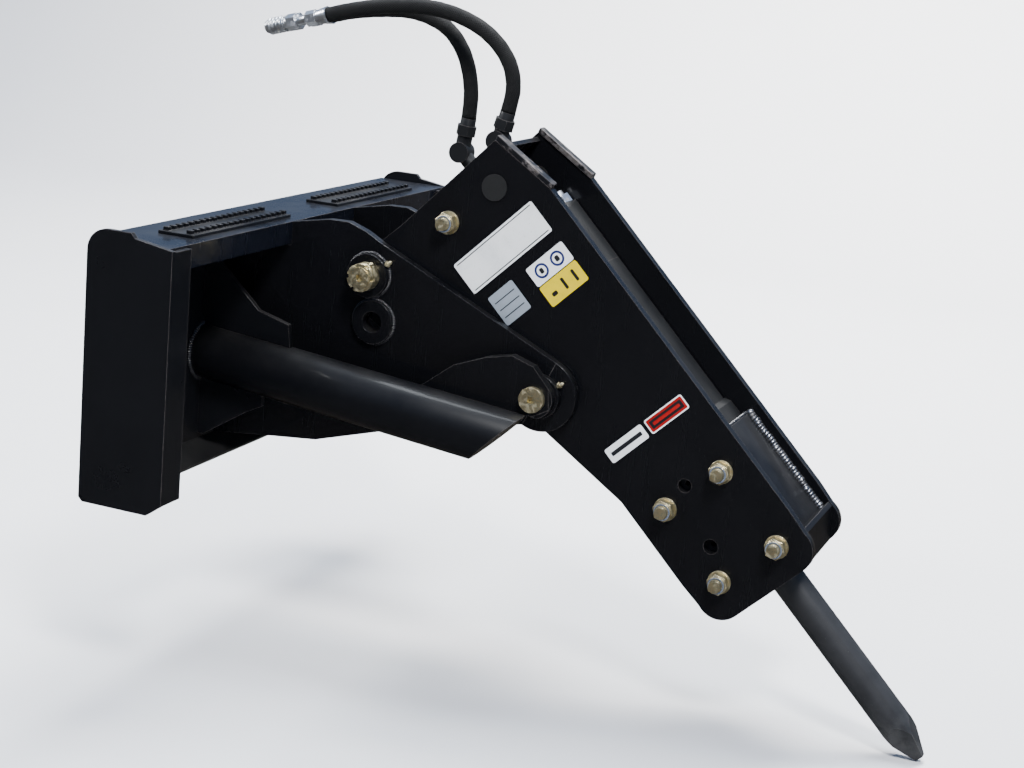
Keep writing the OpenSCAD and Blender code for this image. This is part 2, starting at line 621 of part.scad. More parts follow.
mount_plate();
lock_lip();
end_cheeks();
step_plate();
grip_pads();
arm_plate_near();
arm_plate_far();
brace_tube_near();
brace_tube_far();
tube_caps();
brace_ear_near();
brace_ear_far();
foot_gussets();
cross_plate();
arm_bosses();
angle_bosses();
upper_pin();
upper_pin_collar();
upper_roll_pin();
lower_pin();
lower_pin_nut();
grease_nipples();
side_plate_near();
side_plate_far();
side_bushes();
lower_guard();
bottom_plate();
top_plate();
edge_bars();
front_head();
cylinder_body();
back_head();
tie_rods();
side_bolts();
side_nuts();
side_washers();
valve_box();
valve_spool();
valve_covers();
accumulator();
accumulator_cap();
diaphragm();
gas_valve();
seal_carrier();
piston();
upper_bush();
lower_bush();
dust_seal();
chisel();
retainer_pin();
side_plugs();
spacer_tube();
port_pipes();
hose_pressure();
hose_return();
coupler_pressure();
coupler_return();
coupler_sleeve_pressure();
coupler_sleeve_return();
decals();
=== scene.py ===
# %% [markdown]
# # A hydraulic breaker hammer on its loader frame
# The breaker is a chisel driven by an oil-powered piston, held between two thick side plates.
# The plates hang from a wide loader frame by two pins. This lesson takes the designed steel
# parts as they are, rounds their edges, and adds what a workshop adds: weld beads, threads,
# nylon rings, woven hose sleeves, blank labels and worn gloss paint.

# %% Load the steel parts
import json
import math

import bmesh
import bpy
from mathutils import Matrix, Vector


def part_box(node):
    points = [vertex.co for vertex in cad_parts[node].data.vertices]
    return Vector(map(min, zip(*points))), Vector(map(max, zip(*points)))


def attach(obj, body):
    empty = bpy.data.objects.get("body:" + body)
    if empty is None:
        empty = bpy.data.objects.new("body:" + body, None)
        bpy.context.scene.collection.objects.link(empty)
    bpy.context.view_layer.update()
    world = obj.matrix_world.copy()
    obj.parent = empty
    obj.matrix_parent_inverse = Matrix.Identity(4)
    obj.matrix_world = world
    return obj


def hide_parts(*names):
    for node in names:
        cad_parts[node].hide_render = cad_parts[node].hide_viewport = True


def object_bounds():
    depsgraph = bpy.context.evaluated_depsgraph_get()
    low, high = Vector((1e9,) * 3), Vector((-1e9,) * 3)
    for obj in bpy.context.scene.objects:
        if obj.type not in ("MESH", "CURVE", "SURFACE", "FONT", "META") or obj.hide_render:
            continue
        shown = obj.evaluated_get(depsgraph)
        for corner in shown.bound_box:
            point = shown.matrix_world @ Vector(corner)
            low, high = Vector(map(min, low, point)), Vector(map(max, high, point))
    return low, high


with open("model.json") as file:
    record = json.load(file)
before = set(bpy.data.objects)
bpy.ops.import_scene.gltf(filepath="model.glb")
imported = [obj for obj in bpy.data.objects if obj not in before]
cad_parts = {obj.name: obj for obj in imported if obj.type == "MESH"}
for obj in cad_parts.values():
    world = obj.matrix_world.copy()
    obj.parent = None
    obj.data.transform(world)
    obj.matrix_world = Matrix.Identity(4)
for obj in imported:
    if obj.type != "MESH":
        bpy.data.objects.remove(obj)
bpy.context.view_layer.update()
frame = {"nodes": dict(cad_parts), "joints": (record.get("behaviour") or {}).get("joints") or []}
nodes = frame["nodes"]

# %% [markdown]
# ## The camera
# A long lens a few metres away keeps the plates nearly parallel. The camera stands a little in
# front of the machine and above it, and it is rolled by a few degrees, as a hand-held shot is.
# It comes first, because it decides which faces need the most care.

# %% Camera
camera_place = Vector((1.854, -3.333, 0.840))
camera_turn, camera_height, camera_roll = (math.radians(a) for a in (20.8, 13.7, 5.3))


def aim(turn, height, roll):
    """Camera matrix that looks back at the object from that azimuth and elevation."""
    back = Vector((math.sin(turn) * math.cos(height), -math.cos(turn) * math.cos(height), math.sin(height)))
    right = Vector((math.cos(turn), math.sin(turn), 0.0))
    up = back.cross(right)
    rolled_right = right * math.cos(roll) + up * math.sin(roll)
    rolled_up = up * math.cos(roll) - right * math.sin(roll)
    return Matrix((rolled_right, rolled_up, back)).transposed().to_4x4()


camera = bpy.data.objects.new("camera", bpy.data.cameras.new("camera"))
camera.data.sensor_width = 36.0
camera.data.lens = 66.1
camera.data.clip_end = 100.0
camera.matrix_world = Matrix.Translation(camera_place) @ aim(camera_turn, camera_height, camera_roll)
bpy.context.scene.collection.objects.link(camera)
bpy.context.scene.camera = camera
print("lens", camera.data.lens)

# %% [markdown]
# ## The breaker's own axes
# Everything on the breaker is easiest to place along the chisel. The lean comes from the
# direction in which the chisel slides, so a change of the design carries over.

# %% Breaker frame
chisel_axis = next(j for j in frame["joints"] if j["name"] == "chisel_slide")["axis"]
up_chisel = Vector(chisel_axis).normalized()
to_front = Vector((0, 1, 0)).cross(up_chisel).normalized()
nose = Vector((1.180, 0.0, -0.308))


def on_breaker(x, y, z):
    """A point in millimetres along the breaker's axes, in metres in the shared frame."""
    return nose + (to_front * x + Vector((0, 1, 0)) * y + up_chisel * z) * 0.001


half_width = (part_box("side_plate_far")[1][1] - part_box("side_plate_near")[0][1]) / 2 * 1000
print("half width of the body", round(half_width, 1), "mm")

# %% [markdown]
# ## Shader maths as Python
# A surface recipe is a chain of small sums. Wrapping a socket in a class lets the sum be written
# as a sum, and each operator adds its own Math node.


# %% A socket that does arithmetic
class Value:
    def __init__(self, recipe, socket):
        self.recipe, self.socket = recipe, socket

    def _math(self, operation, first, second=None):
        values = {0: first} if second is None else {0: first, 1: second}
        return self.recipe.add("ShaderNodeMath", {"operation": operation}, values)

    def __add__(self, other):
        return self._math("ADD", self, other)

    def __sub__(self, other):
        return self._math("SUBTRACT", self, other)

    def __rsub__(self, other):
        return self._math("SUBTRACT", other, self)

    def __mul__(self, other):
        return self._math("MULTIPLY", self, other)

    def above(self, edge, soft=0.05):
        """0 below the edge, 1 above it, with a soft step."""
        return self.recipe.add("ShaderNodeMapRange", {"interpolation_type": "SMOOTHSTEP"},
                               {0: self, 1: edge - soft, 2: edge + soft})

    __radd__ = __add__
    __rmul__ = __mul__


class Recipe:
    """One material, built around a Principled shader."""

    def __init__(self, name):
        self.material = bpy.data.materials.new(name)
        self.material.use_nodes = True
        self.tree = self.material.node_tree
        self.shader = self.tree.nodes["Principled BSDF"]

    def add(self, kind, settings=None, values=None, out=0):
        node = self.tree.nodes.new(kind)
        for key, value in (settings or {}).items():
            setattr(node, key, value)
        for key, value in (values or {}).items():
            self.feed(node.inputs[key], value)
        return Value(self, node.outputs[out])

    def feed(self, socket, value):
        if isinstance(value, Value):
            self.tree.links.new(value.socket, socket)
        else:
            socket.default_value = value

    def coords(self):
        return self.add("ShaderNodeTexCoord", out="Object")

    def noise(self, scale, detail=4.0, rough=0.55, at=None):
        return self.add("ShaderNodeTexNoise", {}, {"Vector": at or self.coords(), "Scale": scale,
                                                   "Detail": detail, "Roughness": rough})

    def mix(self, factor, first, second):
        node = self.tree.nodes.new("ShaderNodeMix")
        node.data_type = "RGBA"
        self.feed(node.inputs[0], factor)
        self.feed(node.inputs[6], first)
        self.feed(node.inputs[7], second)
        return Value(self, node.outputs[2])

    def edges(self, radius):
        """1 on a sharp outer or inner edge, 0 on a flat: the rounded normal leaves the true one."""
        rounded = self.add("ShaderNodeBevel", {"samples": 4}, {"Radius": radius})
        true = self.add("ShaderNodeNewGeometry", out="Normal")
        agree = self.add("ShaderNodeVectorMath", {"operation": "DOT_PRODUCT"}, {0: rounded, 1: true},
                         out="Value")
        return (1.0 - agree) * 6.0

    def upward(self):
        """How far the surface faces the sky, from 0 to 1."""
        true = self.add("ShaderNodeNewGeometry", out="Normal")
        return self.clamp(self.add("ShaderNodeSeparateXYZ", {}, {0: true}, out="Z"))

    def clamp(self, value):
        return self.add("ShaderNodeClamp", {}, {0: value})

    def stretched(self, scales, detail=4.0, rough=0.6, at=None):
        """Noise drawn out by a different scale along each axis."""
        place = self.add("ShaderNodeMapping", {}, {"Vector": at or self.coords(), "Scale": scales})
        return self.noise(1.0, detail, rough, place)

    def bump(self, height, strength, distance=0.001):
        return self.add("ShaderNodeBump", {}, {"Height": height, "Strength": strength, "Distance": distance})

    def finish(self, **sockets):
        for key, value in sockets.items():
            self.feed(self.shader.inputs[key.replace("_", " ")], value)
        return self.material


def grey(level, warm=0.0):
    return (level * (1 + warm), level, level * (1 - warm), 1.0)


print("shader helpers ready")

# %% [markdown]
# ## Gloss black paint
# Sprayed enamel on plate is never a mirror: it has orange peel a few millimetres across, a haze
# of dust on what faces up, thin scratches, and bare or rusty steel where edges were knocked.
# The peel is a Bump, the dust and chips change colour and roughness, and the clear top layer is
# the shader's own coat.
# Where scuffs are asked for, the lighter bare patches on the flats are partly wear and partly a painted
# highlight.


# %% Black paint recipe
def black_paint(name, base, rough, chips=0.62, dust=0.5, peel=0.16, shine=0.16, scuffs_and_highlight=0.0, sheen=0.2):
    """chips lowers the wear when it rises; the scuff amount rubs bare-steel patches onto the flats, partly
    wear and partly a painted highlight; shine is the coat, sheen the base.
    """
    r = Recipe(name)
    place = r.coords()
    cloud = r.noise(7.0, 6.0, 0.6, place)
    fine = r.noise(160.0, 3.0, 0.5, place)
    grit = r.noise(900.0, 2.0, 0.6, place)
    edge = r.edges(0.0022)
    wear_and_highlight = (edge * 0.55 + fine * 0.55 + cloud * 0.35).above(chips + 0.34, 0.05) * edge.above(0.2, 0.1)
    # Scuff patches: lighter bare steel rubbed onto the flats, partly wear and partly a painted highlight that
    # brightens flat faces as a reflection would.
    if scuffs_and_highlight:
        rub = r.stretched((28.0, 120.0, 28.0), at=place)
        wear_and_highlight = r.clamp(wear_and_highlight + (rub + fine * 0.3).above(0.69, 0.05) * scuffs_and_highlight)
    dusty = r.upward() * (cloud + grit * 0.35).above(0.66, 0.2) * dust
    streaks = r.stretched((60.0, 60.0, 4.0), 5.0, 0.7, place)
    rust_and_highlight_colour = r.mix(fine, (0.045, 0.028, 0.02, 1), (0.20, 0.19, 0.185, 1))
    body = r.mix(cloud, base, tuple(c * 1.6 for c in base[:3]) + (1,))
    body = r.mix(dusty * 0.10, body, (0.16, 0.15, 0.13, 1))
    body = r.mix(wear_and_highlight, body, rust_and_highlight_colour)
    roughness = rough + cloud * 0.10 + dusty * 0.20 + wear_and_highlight * 0.35 + streaks.above(0.62, 0.05) * 0.06
    surface = r.noise(240.0, 2.0, 0.5, place) * peel + wear_and_highlight * -0.5 + grit * 0.04
    return r.finish(Base_Color=body, Roughness=roughness, Metallic=wear_and_highlight * 0.5,
                    Coat_Weight=shine - wear_and_highlight * shine, Coat_Roughness=0.06, Specular_IOR_Level=sheen,
                    Normal=r.bump(surface, 0.4, 0.0006))


hull_black, frame_black = (0.0030, 0.0031, 0.0038, 1), (0.0034, 0.0036, 0.0045, 1)
paint = black_paint("gloss_black_paint", hull_black, 0.20)
frame_paint = black_paint("frame_black_paint", frame_black, 0.24, 0.58, 0.8, 0.2)
casting_paint = black_paint("casting_paint", (0.007, 0.0073, 0.008, 1), 0.45, 0.70, 0.6, 0.5)
weld_paint = black_paint("weld_paint", (0.008, 0.008, 0.0095, 1), 0.18, 0.75, 0.7, 0.3, 0.9)
# The edge bars get more and lighter bare-steel patches: partly wear, partly a painted highlight along their
# front faces.
scuffed_highlight_paint = black_paint("scuffed_highlight_paint", frame_black, 0.24, 0.34, 0.8, 0.2, scuffs_and_highlight=0.9)
low_paint = black_paint("low_paint", (0.0030, 0.0032, 0.0042, 1), 0.32, 0.56, 0.6, 0.3, 0.08, sheen=0.16)
# The step plate's base colour is tinted blue: a painted reflection of the blue sky on its top face.
step_sky_tinted_paint = black_paint("step_sky_tinted_paint", (0.0034, 0.0042, 0.0070, 1), 0.20, 0.56, 0.4, 0.2, 0.40, sheen=0.4)
print("paints", paint.name, frame_paint.name)

# %% [markdown]
# ## Plated and bare steel
# Yellow zinc has a thin rainbow film, so its colour drifts between straw, pink and green. Clear
# zinc is a duller blue-grey. Both go patchy where fingers and weather have been.


# %% Metal recipes
def plated(name, first, second, third, rough):
    r = Recipe(name)
    drift = r.noise(45.0, 3.0, 0.5)
    patch = r.noise(300.0, 5.0, 0.7)
    grime = r.noise(90.0, 6.0, 0.65).above(0.6, 0.12)
    body = r.mix(drift.above(0.5, 0.15), first, second)
    body = r.mix(patch.above(0.58, 0.1), body, third)
    body = r.mix(grime * 0.6, body, (0.05, 0.042, 0.03, 1))
    return r.finish(Base_Color=body, Metallic=0.95 - grime * 0.5,
                    Roughness=rough + patch * 0.16 + grime * 0.3, Normal=r.bump(patch, 0.18, 0.0004))


def turned(name, base, rough, pitch=1400.0):
    """Machined steel: fine marks and a film of oil."""
    r = Recipe(name)
    marks = r.stretched((40.0, pitch, 40.0), 3.0)
    oil = r.noise(30.0, 4.0, 0.6).above(0.52, 0.15)
    body = r.mix(oil * 0.5, base, tuple(c * 0.45 for c in base[:3]) + (1,))
    return r.finish(Base_Color=body, Metallic=1.0, Roughness=rough + marks * 0.12 - oil * 0.05,
                    Normal=r.bump(marks, 0.08, 0.0003))


def forged(name):
    """Heat-treated chisel steel: smooth blued scale with oil, scuffed brighter towards its point."""
    r = Recipe(name)
    place = r.coords()
    scale = r.noise(22.0, 6.0, 0.6, place)
    grain = r.noise(420.0, 3.0, 0.6, place)
    edge = r.edges(0.002)
    low = r.add("ShaderNodeSeparateXYZ", {}, {0: place}, out="Z")
    near_point = (0.0 - low).above(0.535, 0.045)
    bare = r.clamp(edge * 0.7 + near_point * scale.above(0.5, 0.12) * 0.22 + grain.above(0.7, 0.03) * 0.2)
    body = r.mix(scale, (0.014, 0.0145, 0.016, 1), (0.042, 0.042, 0.044, 1))
    body = r.mix(bare, body, (0.17, 0.165, 0.16, 1))
    return r.finish(Base_Color=body, Metallic=0.4, Roughness=0.50 - bare * 0.1 + scale * 0.1,
                    Normal=r.bump(scale + grain * 0.25, 0.25, 0.0005))


yellow_zinc = plated("yellow_zinc", (0.74, 0.62, 0.36, 1), (0.62, 0.54, 0.34, 1), (0.46, 0.46, 0.30, 1), 0.24)
# The retainer pin's steel is coloured near black: painted shade for the inside of the side-plate hole it is
# seen through.
hole_shade_steel = turned("hole_shade_steel", (0.05, 0.05, 0.055, 1), 0.42)
clear_zinc = plated("clear_zinc", (0.60, 0.62, 0.64, 1), (0.52, 0.54, 0.58, 1), (0.68, 0.68, 0.66, 1), 0.22)
ground_steel = turned("ground_steel", (0.56, 0.56, 0.57, 1), 0.16)
bush_steel = turned("bush_steel", (0.42, 0.34, 0.2, 1), 0.3, 900.0)
chisel_steel = forged("forged_chisel")
print("metals", yellow_zinc.name, clear_zinc.name, chisel_steel.name)

# %% [markdown]
# ## Rubber, nylon and label film
# Seals and plugs are matt rubber with a bloom. The labels carry no word: they are a white plate
# with two thin lines, a grey data plate with ruled lines, a white and yellow plate with plain
# rings and dashes, and a bar in two parts.


# %% Soft and printed finishes
def rubber(name, level=0.012, rough=0.62):
    r = Recipe(name)
    bloom = r.noise(60.0, 5.0, 0.6)
    body = r.mix(bloom.above(0.55, 0.2) * 0.4, grey(level), grey(level * 3.5))
    return r.finish(Base_Color=body, Roughness=rough + bloom * 0.15,
                    Normal=r.bump(r.noise(700.0), 0.2, 0.0003))


def label(name, base, rough=0.35):
    r = Recipe(name)
    dirt = r.noise(25.0, 6.0, 0.65).above(0.56, 0.16)
    speck = r.noise(420.0, 3.0, 0.6).above(0.68, 0.04)
    body = r.mix(dirt * 0.16 + speck * 0.45, base, tuple(c * 0.35 for c in base[:3]) + (1,))
    return r.finish(Base_Color=body, Roughness=rough + dirt * 0.2, Coat_Weight=0.05, Specular_IOR_Level=0.2,
                    Normal=r.bump(r.noise(14.0), 0.12, 0.001))


seal_rubber = rubber("seal_rubber")
plug_rubber = rubber("plug_rubber", 0.0022, 0.7)
nylon = label("nylon_ring", (0.10, 0.12, 0.15, 1), 0.4)
white_film = label("white_film", (0.78, 0.78, 0.76, 1))
grey_film = label("grey_film", (0.24, 0.27, 0.30, 1), 0.28)
yellow_film = label("yellow_film", (0.66, 0.49, 0.0, 1))
dark_film = label("dark_film", (0.010, 0.010, 0.012, 1))
blue_film = label("blue_film", (0.012, 0.02, 0.10, 1))
red_film = label("red_film", (0.28, 0.0, 0.0, 1))
print("films ready")


# %% [markdown]
# ## The woven hose sleeve
# Each hose wears a black nylon sleeve. A weave is two families of threads that cross at a slant,
# so it is drawn in the hose's own map: U runs once round and V along the length in turns.

# %% Sleeve recipe
def sleeve(name):
    r = Recipe(name)
    around_along = r.add("ShaderNodeUVMap", {"uv_map": "sleeve"})
    around = r.add("ShaderNodeSeparateXYZ", {}, {0: around_along}, out="X")
    along = r.add("ShaderNodeSeparateXYZ", {}, {0: around_along}, out="Y")

    def threads(direction):
        wave = (around * 22.0 + along * direction) * (2 * math.pi)
        return r.add("ShaderNodeMath", {"operation": "SINE"}, {0: wave}) * 0.5 + 0.5

    weave = r.add("ShaderNodeMath", {"operation": "MAXIMUM"}, {0: threads(16.0), 1: threads(-16.0)})
    fuzz = r.noise(500.0, 3.0, 0.7)
    dust = r.upward() * r.noise(18.0, 5.0, 0.6).above(0.5, 0.2)
    body = r.mix(weave, grey(0.002), grey(0.010))
    body = r.mix(dust * 0.12 + fuzz.above(0.66, 0.05) * 0.12, body, (0.07, 0.066, 0.06, 1))
    folds = r.noise(75.0, 3.0, 0.6)
    return r.finish(Base_Color=body, Roughness=0.82 - weave * 0.14, Specular_IOR_Level=0.12,
                    Normal=r.bump(weave * 0.6 + fuzz * 0.4 + folds * 2.2, 0.7, 0.0014))


sleeve_cloth = sleeve("woven_sleeve")
print("sleeve", sleeve_cloth.name)

# %% [markdown]
# ## The hoses
# The two hoses stand straight out of their fittings, bow over stiffly, and end in quick
# couplers. A stiff wire-braided hose keeps one smooth bend, so each one is a tube swept along a
# smooth curve through its route points. The sleeve bunches a little, which a slow ripple of the
# radius gives.

# %% Hose routes
def route(elbow, offsets):
    """Route points from offsets in millimetres off a fitting's elbow."""
    return [elbow + Vector(offset) * 0.001 for offset in offsets]


pressure_points = route(on_breaker(66, -25, 992), [
    (14, 0, 56), (20, 0, 100), (11, 0, 140), (-15, 0, 176), (-55, 0, 205), (-107, 1, 224), (-161, 3, 232),
    (-220, 5, 230), (-280, 7, 222), (-335, 8, 210), (-381, 9, 197)])
return_points = route(on_breaker(-33, 40, 1036), [
    (9, 0, 67), (9, 0, 115), (0, 0, 159), (-17, -1, 197), (-46, -1, 229), (-88, 0, 249), (-140, 2, 257),
    (-200, 3, 253), (-256, 4, 244), (-302, 4, 232)])


def smooth(points, steps):
    """Catmull-Rom points through the route."""
    route = [Vector(p) for p in points]
    padded = [route[0] * 2 - route[1]] + route + [route[-1] * 2 - route[-2]]
    out = []
    for i in range(1, len(padded) - 2):
        a, b, c, d = padded[i - 1:i + 3]
        for k in range(steps):
            t = k / steps
            out.append(0.5 * (2 * b + (c - a) * t + (2 * a - 5 * b + 4 * c - d) * t ** 2
                              + (3 * b - a - 3 * c + d) * t ** 3))
    return out + [route[-1]]


def length_of(path):
    return sum((b - a).length for a, b in zip(path, path[1:]))


def link(name, mesh, material):
    piece = bpy.data.objects.new(name, mesh)
    bpy.context.scene.collection.objects.link(piece)
    mesh.materials.append(material)
    return piece


def hose(name, points, diameter, sides=28, steps=9):
    path = smooth(points, steps)
    mesh, side_way = bpy.data.meshes.new(name), Vector((0, 1, 0))
    bm = bmesh.new()
    uv = bm.loops.layers.uv.new("sleeve")
    rings, travelled, walked = [], [], 0.0
    for i, p in enumerate(path):
        walked += (p - path[i - 1]).length if i else 0.0
        ahead = (path[min(i + 1, len(path) - 1)] - path[max(i - 1, 0)]).normalized()
        side = ahead.cross(side_way).normalized()
        third = ahead.cross(side)
        ripple = 1.0 + 0.012 * math.sin(walked * 210) + 0.008 * math.sin(walked * 530 + 1.3)
        radius = diameter / 2 * min(ripple, 1.015)
        rings.append([bm.verts.new(p + radius * (math.cos(2 * math.pi * k / sides) * side
                                                 + math.sin(2 * math.pi * k / sides) * third))
                      for k in range(sides)])
        travelled.append(walked / (math.pi * diameter))
    for i in range(len(rings) - 1):
        for k in range(sides):
            n = (k + 1) % sides
            face = bm.faces.new((rings[i][k], rings[i][n], rings[i + 1][n], rings[i + 1][k]))
            face.smooth = True
            for loop, u, v in zip(face.loops, (k, k + 1, k + 1, k), (i, i, i + 1, i + 1)):
                loop[uv].uv = (u / sides, travelled[v])
    bm.faces.new(rings[0][::-1])
    bm.faces.new(rings[-1])
    bmesh.ops.recalc_face_normals(bm, faces=bm.faces)
    bm.to_mesh(mesh)
    bm.free()
    return link(name, mesh, sleeve_cloth), path


hose_width = 0.029
pressure_hose, pressure_path = hose("pressure_hose", pressure_points, hose_width)
return_hose, return_path = hose("return_hose", return_points, hose_width)
for piece, node in ((pressure_hose, "hose_pressure"), (return_hose, "hose_return")):
    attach(piece, "breaker")
    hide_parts(node)
length_of(pressure_path)
length_of(return_path)
print("hoses", round(length_of(pressure_path), 3), round(length_of(return_path), 3), "m")

# %% [markdown]
# ## Finishes on the designed parts
# Every designed part keeps its shape. It gets its finish, and its sharp machine edges are eased
# by a small bevel, which is what catches the light on real plate. The bevel works on a welded
# copy of the loose triangles inside the modifier stack, so the mesh itself stays as designed.

# %% Paint and plate the parts
finishes = {
    "yellow_zinc": (yellow_zinc, "upper_pin upper_pin_collar upper_roll_pin lower_pin lower_pin_nut "
                    "grease_nipples side_bolts side_nuts side_washers gas_valve"),
    "silver": (clear_zinc, "coupler_pressure coupler_return coupler_sleeve_pressure coupler_sleeve_return "
               "tie_rods seal_carrier"),
    "ground": (ground_steel, "piston valve_spool"),
    # Retainer pin: its near-black colour is painted shade inside its hole.
    "hole_shade": (hole_shade_steel, "retainer_pin"),
    # Edge bars: bare-steel patches that are partly wear and partly a painted highlight.
    "scuffed": (scuffed_highlight_paint, "edge_bars"),
    "low": (low_paint, "brace_tube_near brace_tube_far lower_guard bottom_plate"),
    "step": (step_sky_tinted_paint, "step_plate"),
    "plug": (plug_rubber, "side_plugs"),
    "bush": (bush_steel, "side_bushes upper_bush lower_bush"),
    "rubber": (seal_rubber, "dust_seal diaphragm"),
    "casting": (casting_paint, "front_head cylinder_body back_head valve_box valve_covers accumulator "
                "accumulator_cap spacer_tube port_pipes"),
    "chisel": (chisel_steel, "chisel"),
    "frame": (frame_paint, "mount_plate lock_lip end_cheeks grip_pads foot_gussets cross_plate"),
}
finish_of = {node: material for material, names in finishes.values() for node in names.split()}
for node, piece in nodes.items():
    piece.data.materials.clear()
    piece.data.materials.append(finish_of.get(node, paint))
print("finished parts", len(finish_of), "of", len(nodes))

# %% Ease the edges
edge_width = {"side_nuts": 0.0011, "side_bolts": 0.0011, "grease_nipples": 0.0004, "grip_pads": 0.0014,
              "chisel": 0.0012, "mount_plate": 0.0014, "end_cheeks": 0.002, "side_plate_near": 0.0018,
              "side_plate_far": 0.0018, "arm_plate_near": 0.002, "arm_plate_far": 0.002, "edge_bars": 0.002,
              "step_plate": 0.002, "lower_guard": 0.0016, "lock_lip": 0.0014}
hidden_parts = {"hose_pressure", "hose_return", "decals"}
for node, piece in nodes.items():
    if node in hidden_parts:
        continue
    weld = piece.modifiers.new("weld", "WELD")
    weld.merge_threshold = 0.00001
    bevel = piece.modifiers.new("bevel", "BEVEL")
    bevel.width = edge_width.get(node, 0.0008)
    bevel.segments = 2
    bevel.limit_method = "ANGLE"
    bevel.angle_limit = math.radians(32)
    bevel.use_clamp_overlap = True
    bevel.harden_normals = True
print("eased", len(nodes) - len(hidden_parts))

# %% [markdown]
# ## Turned pieces
# The small pieces below are solids of revolution. One helper turns a profile round the line
# between two points and closes both ends. Another finishes a mesh and gives it to a body.


# %% Turn a profile
def frame_along(start, end):
    ahead = (end - start).normalized()
    side = ahead.orthogonal().normalized()
    return ahead, side, ahead.cross(side)


def turn_profile(bm, start, end, profile, sides=32):
    """profile is a list of (distance from start, radius) in metres. Both ends are capped."""
    ahead, side, third = frame_along(start, end)
    rings = []
    for distance, radius in profile:
        rings.append([bm.verts.new(start + ahead * distance
                                   + radius * (math.cos(2 * math.pi * k / sides) * side
                                               + math.sin(2 * math.pi * k / sides) * third))
                      for k in range(sides)])
    bm.faces.new(rings[0][::-1])
    bm.faces.new(rings[-1])
    for low, high in zip(rings, rings[1:]):
        for k in range(sides):
            n = (k + 1) % sides
            bm.faces.new((low[k], low[n], high[n], high[k])).smooth = True


def finish_mesh(name, bm, material, body="breaker"):
    bmesh.ops.recalc_face_normals(bm, faces=bm.faces)
    mesh = bpy.data.meshes.new(name)
    bm.to_mesh(mesh)
    bm.free()
    piece = link(name, mesh, material)
    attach(piece, body)
    return piece


print("turning helper ready")

# %% [markdown]
# ## Threads on the bolt ends
# A bolt end stands ten millimetres out of its lock nut. Its thread is drawn as the sawtooth
# profile of a turned bar: at this size nobody can tell a ring from a helix, and a ring closes
# cleanly.

# %% Bolt ends and nylon rings
bolt_places = [(66, 244), (-66, 248), (66, 76), (-66, 82), (-76, 918)]
bolt_radius, washer, nut_height = 0.012, 4.0, 21.6
bolt_tip = half_width + washer + nut_height + 10
thread_pitch = 0.003


def thread_profile(length, radius, pitch):
    profile = [(0.0, radius * 0.84)]
    for i in range(int(length / pitch)):
        profile += [(i * pitch + 0.2 * pitch, radius * 0.88), (i * pitch + 0.55 * pitch, radius * 1.012),
                    (i * pitch + 0.7 * pitch, radius * 1.012)]
    return profile + [(length - 0.0006, radius * 0.97), (length + 0.0003, radius * 0.86)]


threads_bm, rings_bm = bmesh.new(), bmesh.new()
for x, z in bolt_places:
    foot = on_breaker(x, -(bolt_tip - 10.5), z)
    turn_profile(threads_bm, foot, on_breaker(x, -bolt_tip - 5, z),
                 thread_profile(0.0105, bolt_radius, thread_pitch))
    ring_foot = on_breaker(x, -(half_width + washer + nut_height - 4.4), z)
    turn_profile(rings_bm, ring_foot, on_breaker(x, -bolt_tip, z),
                 [(0.0, 0.0160), (0.0040, 0.0160), (0.0048, 0.0152), (0.0050, 0.0132), (0.0040, 0.0126)])
finish_mesh("bolt_threads", threads_bm, yellow_zinc)
finish_mesh("nylon_rings", rings_bm, nylon)
print("bolt ends", len(bolt_places))

# %% [markdown]
# ## Weld beads
# A hand-laid bead is a row of overlapping puddles, each a little different. Geometry Nodes make
# it: a curve is cut into even points, a squashed ball is set on each, turned along the curve
# and jittered in size, and the balls are realized as one mesh.


